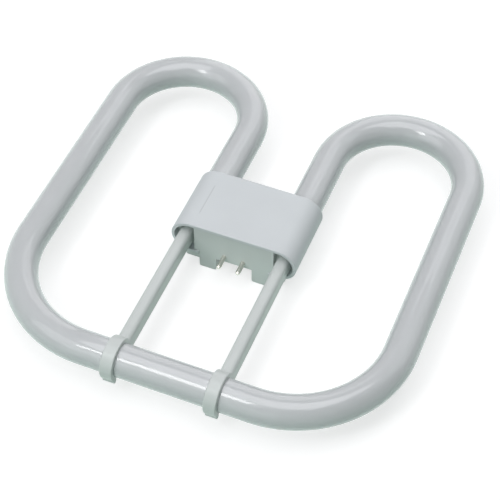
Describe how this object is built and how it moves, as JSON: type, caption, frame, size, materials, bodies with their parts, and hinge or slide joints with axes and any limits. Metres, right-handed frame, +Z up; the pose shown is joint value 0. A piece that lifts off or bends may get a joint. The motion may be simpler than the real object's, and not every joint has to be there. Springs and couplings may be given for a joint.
{
  "type": "square compact fluorescent lamp",
  "caption": "Flat square lamp: a bent white glass tube with a plastic cap between its legs, contact pins in the cap and arms clipped to the far side of the tube.",
  "frame": {"origin": "centre of the part's footprint box, at the level of the flat undersides of the two rails it stands on", "axes": "+Z up, square to the plane of the tube; +Y in that plane, from the front run with the clips to the two rear lobes, along the legs; +X to the right. The contact pins point to -Y."},
  "size_m": [0.205, 0.2072, 0.0298],
  "materials": {
    "coated_glass": "clear glass over a matt white coating, opaque",
    "housing_plastic": "satin white moulding",
    "carrier_plastic": "satin white moulding",
    "pin_metal": "nickel-plated brass",
    "starter_glass": "small sealed glass bottle",
    "capacitor_case": "dipped and moulded case",
    "lead_sleeve": "sleeved lead",
    "cement": "dull basing cement"
  },
  "bodies": {
    "root": {"discharge_tube": "coated_glass", "housing": "housing_plastic", "pin_carrier": "carrier_plastic", "contact_pin_1": "pin_metal", "contact_pin_2": "pin_metal", "glow_starter": "starter_glass", "capacitor": "capacitor_case", "lead_wire_1": "lead_sleeve", "lead_wire_2": "lead_sleeve", "lead_wire_3": "lead_sleeve", "lead_wire_4": "lead_sleeve", "cement_left": "cement", "cement_right": "cement"}
  },
  "joints": []
}
